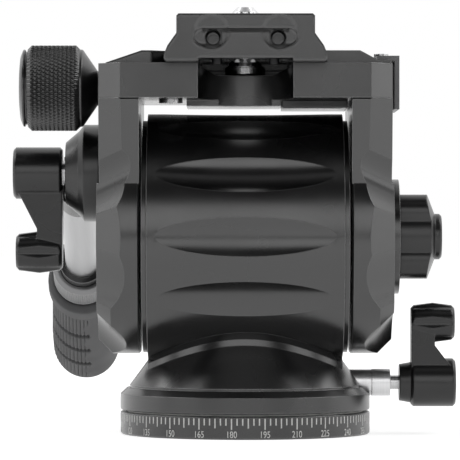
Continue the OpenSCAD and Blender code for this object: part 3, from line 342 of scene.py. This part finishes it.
satin_silver = satin_metal("satin_silver", tone=0.72, rough=0.34)
tube_silver = satin_metal("tube_silver", tone=0.42, rough=0.38)
ring_silver = satin_metal("ring_silver", tone=0.22, rough=0.42)
steel = satin_metal("steel", tone=0.55, rough=0.28)
chrome = satin_metal("chrome", tone=0.85, rough=0.2, depth=0.001 * MM)
# Steel darkened as painted shade, for the stop pins that stand in the shade of the plate's recess.
shade_painted_steel = satin_metal("shade_painted_steel", tone=0.04, rough=0.4)
bronze = satin_metal("bronze", tone=0.5, rough=0.35)
print("metal finishes:", satin_silver.name, tube_silver.name, ring_silver.name, steel.name, chrome.name,
      shade_painted_steel.name, bronze.name)


# %% [markdown]
# ## Rubber and plastic
# The grip is a soft matt rubber, and the glide rings are a slippery white plastic. Both are rough, with a
# slight cloudiness and a very fine skin. The white paint of the dial is made the same way.

# %% Soft finishes
CLOUDS_PER_M, SKIN_PER_M, SKIN_HEIGHT, SKIN_SWING = 160, 3200, 0.02 * MM, 0.06


def matt_skin(name, colour, rough, cloud=0.25):
    """Rubber or plastic: one colour with faint clouds and a fine skin."""
    material = new_finish(name, Specular_IOR_Level=0.4)
    clouds = grain(material, CLOUDS_PER_M, detail=4)
    light = tuple(c * (1 + cloud) for c in colour) + (1,)
    dark = tuple(c * (1 - cloud) for c in colour) + (1,)
    feed(material, "Base Color", mixed(material, by_noise(material, clouds), dark, light))
    feed(material, "Roughness", by_noise(material, clouds, rough - SKIN_SWING, rough + SKIN_SWING))
    feed(material, "Normal", bumped(material, grain(material, SKIN_PER_M), SKIN_HEIGHT))
    return material


rubber = matt_skin("rubber", (0.06, 0.06, 0.062), rough=0.6)
slip_white = matt_skin("slip_white", (0.75, 0.75, 0.73), rough=0.4, cloud=0.05)
dial_white = matt_skin("dial_white", (0.88, 0.88, 0.86), rough=0.5, cloud=0.04)
print("soft finishes:", rubber.name, slip_white.name, dial_white.name)

# %% [markdown]
# ## Dressing the solids
# Each solid names its material slot in the record. A dictionary from slot to finish dresses all of them,
# hidden inner pieces too, because the parts are also shown taken apart. A few solids then get a finish of
# their own: the tube is duller than the sleeve, the camera screw is polished, the stop pins are darkened as
# painted shade, and the camera plate and the moving jaw have wider rounded edges.

# %% Dress the solids
FINISH_OF_SLOT = {
    "anodised_black": anodised_black, "cast_black": cast_black, "satin_silver": satin_silver, "steel": steel,
    "rubber": rubber, "bronze": bronze, "slip_white": slip_white, "sheet_grey": sheet_grey,
}
slot_of_node = {row["node"]: row["material_slot"] for row in frame["record"]["subparts"]}
for name, solid in frame["nodes"].items():
    solid.data.materials.clear()
    solid.data.materials.append(FINISH_OF_SLOT[slot_of_node[name]])
OWN_FINISH = {
    "handle_tube": tube_silver, "camera_screw": chrome, "camera_plate": rounded_black,
    "moving_jaw": rounded_black, "plate_stop_pins": shade_painted_steel,
}
for name, finish in OWN_FINISH.items():
    frame["nodes"][name].data.materials[0] = finish
print("dressed", len(frame["nodes"]), "solids,", len(OWN_FINISH), "of them in a finish of their own")

# %% [markdown]
# ## The fluted drum
# The drum between the side plates holds the damper. Nine almond-shaped flutes, thirty degrees apart, are
# milled into it with a barrel cutter. In a section across the drum the cutter is a circle whose radius
# shrinks toward the flute's ends. The grid of points follows the edges of the flutes, so that they stay
# crisp lines and the painted edge highlight can draw them.

# %% Fluted drum
FLUTE_DEPTH, FLUTE_WIDTH, FLUTE_LENGTH = 1.6 * MM, 9.3 * MM, 42.5 * MM
FLUTE_PITCH, FLUTE_COUNT = np.radians(30), 9
DRUM_WALL, DRUM_CREASE = 4 * MM, 12
SECTIONS, POINTS_IN_FLUTE, POINTS_ON_LAND = 121, 19, 6
NARROWEST = np.radians(0.3)
drum_low, drum_high = (np.array(corner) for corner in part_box("drum_shell"))
drum_radius = (drum_high[1] - drum_low[1]) / 2
tilt_height = joints["tilt"]["pos_m"][2]


def flute_cutter(x):
    """The cutter's circle in the section at x: how far its centre is from the axis, and its radius there."""
    floor = drum_radius - FLUTE_DEPTH
    edge = np.sqrt(drum_radius ** 2 - (FLUTE_WIDTH / 2) ** 2)
    off = (drum_radius ** 2 - floor ** 2) / (2 * (edge - floor))
    arc = ((FLUTE_LENGTH / 2) ** 2 + FLUTE_DEPTH ** 2) / (2 * FLUTE_DEPTH)
    return off, off - floor - arc + np.sqrt(arc ** 2 - x ** 2)


def flute_grid(x, inside, outside):
    """For each x, angles across one pitch that crowd into the flute and have a column on each of its edges.

    The flute's edge lies at the angle whose cosine is (off^2 + drum^2 - cutter^2) / (2 off drum); inside it
    the radius is off cos(angle) - sqrt(cutter^2 - off^2 sin^2(angle)), outside it is the drum's own.
    """
    off, cutter = flute_cutter(x)
    cosine = (off ** 2 + drum_radius ** 2 - cutter ** 2) / (2 * off * drum_radius)
    edge = np.maximum(np.arccos(np.minimum(cosine, 1)), NARROWEST)[:, None]
    cut = edge * np.sin(np.linspace(-np.pi / 2, np.pi / 2, inside))
    land = edge + (FLUTE_PITCH / 2 - edge) * np.linspace(0, 1, outside)[1:]
    angle = np.hstack([-land[:, ::-1], cut, land[:, :-1]])
    reach = np.sqrt(np.maximum(cutter[:, None] ** 2 - (off * np.sin(angle)) ** 2, 0))
    radius = np.where(np.abs(angle) < edge, off * np.cos(angle) - reach, drum_radius)
    return angle, np.minimum(radius, drum_radius)


section_x = np.linspace(drum_low[0], drum_high[0], SECTIONS)
pitch_angle, pitch_radius = flute_grid(section_x, POINTS_IN_FLUTE, POINTS_ON_LAND)
pitches = np.arange(round(2 * np.pi / FLUTE_PITCH))[None, :, None]
angles = (pitch_angle[:, None, :] + (pitches - 1) * FLUTE_PITCH).reshape(SECTIONS, -1)
radii = np.where(pitches < FLUTE_COUNT, pitch_radius[:, None, :], drum_radius).reshape(SECTIONS, -1)


def round_tilt_axis(x, radius, angle):
    """The point (x, -r cos a, r sin a) from the tilt axis: angle 0 looks to the front."""
    return np.stack([x[:, None] + 0 * angle, -radius * np.cos(angle), tilt_height + radius * np.sin(angle)],
                    axis=-1)


skin = round_tilt_axis(section_x, radii, angles)
bore = round_tilt_axis(section_x[[-1, 0]], drum_radius - DRUM_WALL, angles[:2])
drum_points = np.concatenate([skin, bore])
make_piece("fluted_drum", drum_points, grid_faces(*drum_points.shape[:2]), anodised_black, "pan",
           ["drum_shell"], crease=DRUM_CREASE)

# %% [markdown]
# ## The dial
# White lines and numbers are filled into the rim of the base: a short line every 2.5 degrees, a middle
# one every 7.5 and a long one every 15, with its number below. All the lines are made at once, as thin
# blocks bent round the rim. The numbers start as flat text meshes and are wrapped the same way.

# %% Dial lines
DIAL_AT_FRONT = 186.29
TICK_STEP, TICK_TOP, TICK_WIDTH = 2.5, 4.95 * MM, 0.30 * MM
TICK_LENGTHS = {15: 2.6 * MM, 7.5: 2.25 * MM, 2.5: 1.6 * MM}
PAINT_PROUD, PAINT_DEEP = 0.015 * MM, 0.05 * MM
rim_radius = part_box("base_disc")[1][0]


def on_rim(along, height, out):
    """A point of the rim: along it in metres from the front, up it, and out from its face."""
    angle = along / rim_radius
    radius = rim_radius + out
    return np.stack([radius * np.sin(angle), -radius * np.cos(angle), height + 0 * angle], axis=-1)


degrees = np.arange(0, 360, TICK_STEP)
tick_length = np.where(degrees % 15 == 0, TICK_LENGTHS[15],
                       np.where(degrees % 7.5 == 0, TICK_LENGTHS[7.5], TICK_LENGTHS[2.5]))[:, None]
tick_middle = np.radians(degrees - DIAL_AT_FRONT)[:, None] * rim_radius
corner_side = np.array([-1, 1, 1, -1, -1, 1, 1, -1]) * TICK_WIDTH / 2
corner_drop = np.array([0, 0, 1, 1, 0, 0, 1, 1])
corner_out = np.where(np.arange(8) < 4, PAINT_PROUD, -PAINT_DEEP)
tick_points = on_rim(tick_middle + corner_side, TICK_TOP - tick_length * corner_drop,
                     corner_out + 0 * tick_middle)
block = np.array([[0, 1, 2, 3], [5, 4, 7, 6], [4, 5, 1, 0], [6, 7, 3, 2], [5, 6, 2, 1], [7, 4, 0, 3]])
tick_faces = (block[None] + 8 * np.arange(len(degrees))[:, None, None]).reshape(-1, 4)
make_piece("dial_lines", tick_points, tick_faces, dial_white, "base")

# %% [markdown]
# ## Numbers on the dial
# Every fifteenth degree is numbered. On the real base the figures are engraved and filled with white
# paint. Here each one starts as flat text, is turned into a mesh, and its points are then bent round the
# rim with the same formula as the lines; a thin solidify gives the paint its thickness.

# %% Dial numbers
NUMBER_HEIGHT, NUMBER_FOOT, NUMBER_NARROW = 1.55 * MM, 0.45 * MM, 0.80


def flat_number(value):
    """The points and faces of a number as flat text, one unit tall and centred on its width."""
    text = bpy.data.curves.new("number", "FONT")
    text.body = str(value)
    text.align_x = "CENTER"
    writer = bpy.data.objects.new("number", text)
    bpy.context.scene.collection.objects.link(writer)
    bpy.context.view_layer.update()
    flat = bpy.data.meshes.new_from_object(writer.evaluated_get(bpy.context.evaluated_depsgraph_get()))
    points = np.zeros(3 * len(flat.vertices))
    flat.vertices.foreach_get("co", points)
    faces = [list(polygon.vertices) for polygon in flat.polygons]
    bpy.data.objects.remove(writer)
    bpy.data.curves.remove(text)
    bpy.data.meshes.remove(flat)
    points = points.reshape(-1, 3)[:, :2]
    points[:, 1] -= points[:, 1].min()
    return points / points[:, 1].max(), faces


number_points, number_faces, count = [], [], 0
for value in range(0, 360, 15):
    flat, faces = flat_number(value)
    along = np.radians(value - DIAL_AT_FRONT) * rim_radius + flat[:, 0] * NUMBER_HEIGHT * NUMBER_NARROW
    number_points.append(on_rim(along, NUMBER_FOOT + flat[:, 1] * NUMBER_HEIGHT, PAINT_PROUD))
    number_faces += [[index + count for index in face] for face in faces]
    count += len(flat)
numbers_mesh = bpy.data.meshes.new("dial_numbers")
numbers_mesh.from_pydata(np.concatenate(number_points).tolist(), [], number_faces)
numbers_mesh.materials.append(dial_white)
numbers = bpy.data.objects.new("dial_numbers", numbers_mesh)
bpy.context.scene.collection.objects.link(numbers)
thick = numbers.modifiers.new("thickness", "SOLIDIFY")
thick.thickness, thick.offset = PAINT_PROUD + PAINT_DEEP, -1
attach(numbers, "base")
print("dial_numbers:", len(number_points), "numbers,", count, "points")

# %% [markdown]
# ## The clamp knob
# The knob that draws in the jaw is turned, and its band is rolled with a diamond knurl. Two sets of
# helical grooves cross: with u counting diamonds round the band and w along it, the grooves are the
# triangle waves of u + w and u - w, and the smaller of the two leaves flat-topped pyramids standing.

# %% Clamp knob
KNURL_ROUND, KNURL_LENGTH, KNURL_DEPTH, KNURL_SLOPE = 60, 2.03 * MM, 0.42 * MM, 1.7
KNOB_SIDES, BAND_STEP = 480, 0.17 * MM
knob_low, knob_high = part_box("clamp_knob")
knob_radius = (knob_high[2] - knob_low[2]) / 2
clamp_lathe = lathe_frame([knob_high[0], 0, joints["clamp_turn"]["pos_m"][2]], (-1, 0, 0))
knob_length = knob_high[0] - knob_low[0]
NECK, SHOULDER, CHAMFER, RIM = 4.1 * MM, 9.3 * MM, 0.9 * MM, 2.0 * MM
FLARE, BAND = 4.3 * MM, 4.8 * MM
band_end = knob_length - RIM


def diamond_knurl(angle, height, radius):
    """Grooves where the triangle waves of two crossing helices are low, only on the full-radius band."""
    u, w = KNURL_ROUND * angle / (2 * np.pi), height / KNURL_LENGTH
    diamonds = np.minimum(np.minimum(wave(u + w), wave(u - w)) * KNURL_SLOPE, 1)
    band = np.clip((radius - knob_radius + CHAMFER) / CHAMFER, 0, 1)
    return (diamonds - 1) * KNURL_DEPTH * band


band_profile = spread([[knob_radius, BAND + CHAMFER], [knob_radius, band_end - CHAMFER]], BAND_STEP)
knob_profile = np.vstack([
    rounded([[0, 0], [NECK, 0], [NECK, 0.5 * MM], [SHOULDER, FLARE - 0.2 * MM], [SHOULDER, BAND - 0.1 * MM],
             [knob_radius - CHAMFER, BAND]], 0.25 * MM),
    band_profile,
    rounded([[knob_radius - CHAMFER, band_end], [SHOULDER - 0.5 * MM, band_end + 0.05 * MM],
             [SHOULDER - 0.5 * MM, band_end + 0.5 * MM], [SHOULDER, band_end + 0.6 * MM],
             [SHOULDER, knob_length - 0.9 * MM], [SHOULDER - 1.6 * MM, knob_length - 0.25 * MM],
             [SHOULDER - 4 * MM, knob_length], [0, knob_length]], 0.3 * MM)])
knob_points, knob_faces = turned(clamp_lathe, knob_profile, sides=KNOB_SIDES, relief=diamond_knurl)
make_piece("knurled_knob", knob_points, knob_faces, knurled_black, "clamp", ["clamp_knob"])

# %% [markdown]
# ## The handle
# The handle's tube slides in the grip, and a silver ring with fine lengthwise teeth locks it. Where each
# solid starts and ends along the handle is measured from its own points, so that the surfaces which
# replace it fit.

# %% Handle axis and twist ring
handle_lathe = lathe_frame(joints["handle_angle"]["pos_m"], joints["grip_slide"]["axis"])


def along_handle(node_name):
    """Where a node starts and ends along the handle, and its largest radius, from its points."""
    vertices = frame["nodes"][node_name].data.vertices
    points = np.zeros(3 * len(vertices))
    vertices.foreach_get("co", points)
    points = points.reshape(-1, 3) - handle_lathe[0]
    height = points @ handle_lathe[3]
    off_axis = points - height[:, None] * handle_lathe[3]
    return height.min(), height.max(), np.linalg.norm(off_axis, axis=1).max()


TEETH, TOOTH, POINTS_PER_TOOTH = 84, 0.28 * MM, 6
TEETH_AFTER, TEETH_BEFORE, TEETH_FADE = 1.6 * MM, 0.8 * MM, 0.4 * MM
ring_start, ring_end, ring_radius = along_handle("twist_lock_ring")
ring_bore = 6.05 * MM
ring_profile = spread(rounded([
    [ring_bore, ring_start], [ring_radius - 1 * MM, ring_start], [ring_radius, ring_start + 1 * MM],
    [ring_radius, ring_end - 0.5 * MM], [ring_radius - 0.5 * MM, ring_end], [ring_bore, ring_end]],
    0.3 * MM), 0.5 * MM)


def ring_teeth(angle, height, radius):
    """Lengthwise teeth that fade out at both ends of the ring."""
    inside = np.minimum(height - ring_start - TEETH_AFTER, ring_end - TEETH_BEFORE - height) / TEETH_FADE
    outermost = radius > ring_radius - 0.2 * MM
    return (wave(TEETH * angle / (2 * np.pi)) - 1) * TOOTH * np.clip(inside, 0, 1) * outermost


ring_points, _ = turned(handle_lathe, ring_profile, sides=TEETH * POINTS_PER_TOOTH, relief=ring_teeth)
make_piece("toothed_ring", ring_points, grid_faces(*ring_points.shape[:2]), ring_silver, "twist_ring",
           ["twist_lock_ring"])

# %% [markdown]
# ## The rubber grip
# The grip is moulded in one piece: a smooth flange in front, then a body with ribs along it for a firm
# hold and three grooves across it that keep the hand from sliding off. Both stop at a smooth panel on the
# right. The relief is one function of the angle and the distance, so it can fade out on the flange, at
# the end and on the panel without any cutting.

# %% Rubber grip
RIBS, RIB, POINTS_PER_RIB = 52, 0.38 * MM, 8
RIBS_AFTER, RIBS_BEFORE, RIBS_FADE = 13.5 * MM, 3 * MM, 1.2 * MM
CROSS, CROSS_WIDTH = 1.0 * MM, 1.2 * MM
grip_start, grip_end, grip_radius = along_handle("rubber_grip")
grip_bore = 7.42 * MM
CROSS_AT = grip_start + np.array([32.5, 48.0, 63.5]) * MM
PANEL_LEFT, PANEL_RIGHT, PANEL_WAVE, PANEL_FADE = np.radians([-84, 15, 5, 4])
grip_profile = spread(rounded([
    [grip_bore, grip_start], [grip_radius - 1.2 * MM, grip_start], [grip_radius, grip_start + 2.2 * MM],
    [grip_radius, grip_start + 9.5 * MM], [grip_radius - 0.9 * MM, grip_start + 10.6 * MM],
    [grip_radius - 1.3 * MM, grip_start + 11.6 * MM], [grip_radius - 1.0 * MM, grip_start + 13.0 * MM],
    [grip_radius - 0.8 * MM, grip_start + 22 * MM], [grip_radius, grip_start + 60 * MM],
    [grip_radius, grip_end - 6 * MM], [grip_radius - 0.5 * MM, grip_end - 2.5 * MM],
    [grip_radius - 1.8 * MM, grip_end], [grip_bore, grip_end]], 1.0 * MM), 0.45 * MM)


def grip_relief(angle, height, radius):
    """Ribs and cross grooves on the grip's body, faded out on the flange, at the end and on the panel."""
    turn = (angle + np.pi) % (2 * np.pi) - np.pi
    left = PANEL_LEFT + PANEL_WAVE * np.cos(2 * np.pi * (height - CROSS_AT[0]) / (CROSS_AT[1] - CROSS_AT[0]))
    from_panel = np.maximum(left - turn, turn - PANEL_RIGHT) / PANEL_FADE
    body = np.minimum(height - grip_start - RIBS_AFTER, grip_end - RIBS_BEFORE - height) / RIBS_FADE
    shown = np.clip(from_panel, 0, 1) * np.clip(body, 0, 1) * (radius > grip_bore + 0.5 * MM)
    ribs = (np.sqrt(wave(RIBS * angle / (2 * np.pi))) - 1) * RIB
    away = np.min(np.abs(height[..., None] - CROSS_AT), axis=-1) / CROSS_WIDTH
    groove = -CROSS * np.exp(-away ** 4)
    return shown * (ribs + groove)


grip_points, _ = turned(handle_lathe, grip_profile, sides=RIBS * POINTS_PER_RIB, relief=grip_relief)
make_piece("ribbed_grip", grip_points, grid_faces(*grip_points.shape[:2]), rubber, "grip",
           ["rubber_grip"])

# %% [markdown]
# ## The stage
# The head stands on a pale floor in front of nothing: the background is white because the world shows
# white to the camera and to reflections that look to the rear, not because more light falls on the head.
# The room in front of it is dim, which is what gives black metal its deep shadows.

# %% World
ROOM, BACKDROP = 0.04, 1.0
REAR_BEGINS, REAR_FULL = -0.1, 0.35
WHITE = (1, 1, 1, 1)
world = bpy.data.worlds.new("studio")
bpy.context.scene.world = world
world.use_nodes = True
world.node_tree.nodes.clear()
rays = node(world, "LightPath").outputs
direction = node(world, "TexCoord").outputs["Generated"]
to_rear = node(world, "SeparateXYZ", {0: direction}).outputs["Y"]
mirrored = combined(world, "MAXIMUM", rays["Is Glossy Ray"], rays["Is Transmission Ray"])
mirrored = combined(world, "MULTIPLY", mirrored, between(world, to_rear, REAR_BEGINS, REAR_FULL))
white_share = combined(world, "MAXIMUM", rays["Is Camera Ray"], mirrored)
strength = between(world, white_share, 0, 1, ROOM, BACKDROP)
background = node(world, "Background", {"Color": WHITE, "Strength": strength}).outputs[0]
node(world, "OutputWorld", {"Surface": background})
print("world: room", ROOM, "backdrop", BACKDROP)

# %% [markdown]
# ## The floor
# A pale sheet carries the head and takes its shadow. It glows a little for the camera and for
# reflections only, so it reads as white paper without adding light to the head itself. The glow is weaker
# near the head, a painted shade round its foot in the floor and in its reflections, and full far away.

# %% Floor
FLOOR_HALF = 6.0
# GLOW_NEAR is the weaker glow close to the head: a painted shade round its foot.
GLOW_NEAR, GLOW_FAR, GLOW_FROM, GLOW_TO = 0.74, 1.0, 0.1, 0.6
floor_finish = new_finish("floor_white", Base_Color=(0.82, 0.82, 0.82, 1), Emission_Color=WHITE,
                          Roughness=0.9, Specular_IOR_Level=0.1)
rays = node(floor_finish, "LightPath").outputs
seen = combined(floor_finish, "MAXIMUM", rays["Is Camera Ray"], rays["Is Glossy Ray"])
place = node(floor_finish, "TexCoord").outputs["Object"]
away = node(floor_finish, "VectorMath", {0: place}, operation="LENGTH").outputs["Value"]
# Painted shade: the glow rises from GLOW_NEAR within GLOW_FROM of the head to GLOW_FAR beyond GLOW_TO.
glow_with_painted_shade = between(floor_finish, away, GLOW_FROM, GLOW_TO, GLOW_NEAR, GLOW_FAR)
feed(floor_finish, "Emission Strength", combined(floor_finish, "MULTIPLY", seen, glow_with_painted_shade))
floor_mesh = bpy.data.meshes.new("floor")
corners = ((-1, -1), (1, -1), (1, 1), (-1, 1))
floor_mesh.from_pydata([(FLOOR_HALF * x, FLOOR_HALF * y, 0) for x, y in corners], [], [(0, 1, 2, 3)])
floor_mesh.materials.append(floor_finish)
floor = bpy.data.objects.new("floor", floor_mesh)
bpy.context.scene.collection.objects.link(floor)
print("floor:", 2 * FLOOR_HALF, "m wide")

# %% [markdown]
# ## Panels of light
# Black metal shows hardly any colour of its own: what the eye reads is the reflection of the lamps. The
# flat faces are lit, so a wide panel stands behind the camera. The lower halves of the flutes look up and
# are dark, so only a weak panel hangs over the front. On either side a softbox draws the facets and the
# flange, a low strip draws the chamfers between the scallops, and a high softbox lights the top.

# %% Lights
AIM = (0, 0, 0.05)


def softbox(name, spot, width, height, power):
    """A rectangular area light that looks from its spot at the aim."""
    data = bpy.data.lights.new(name, "AREA")
    data.shape, data.size, data.size_y, data.energy = "RECTANGLE", width, height, power
    lamp = bpy.data.objects.new(name, data)
    look = unit(np.subtract(AIM, spot))
    right = unit(np.cross(look, UP))
    turn = np.stack([right, np.cross(right, look), -look], axis=1)
    lamp.matrix_world = Matrix([[*turn[row], spot[row]] for row in range(3)] + [[0, 0, 0, 1]])
    bpy.context.scene.collection.objects.link(lamp)
    print(f"{name}: {power} W")


softbox("front_panel", (0, -1.7, 0.58), width=1.5, height=0.8, power=6.0)
softbox("top_panel", (0, -0.6, 1.22), width=1.2, height=0.4, power=0.4)
for label, side in (("left", -1), ("right", 1)):
    softbox(f"{label}_softbox", (1.2 * side, -0.75, 0.42), width=0.7, height=0.7, power=2.5)
    softbox(f"{label}_strip", (1.3 * side, 0, 0.2), width=0.5, height=0.3, power=0.7)
    softbox(f"{label}_top_softbox", (0.95 * side, 0.15, 1.1), width=0.8, height=0.8, power=5.0)

# %% [markdown]
# ## The view
# The colours are shown through the plain Standard view transform.

# %% Finish
bpy.context.scene.view_settings.view_transform = "Standard"
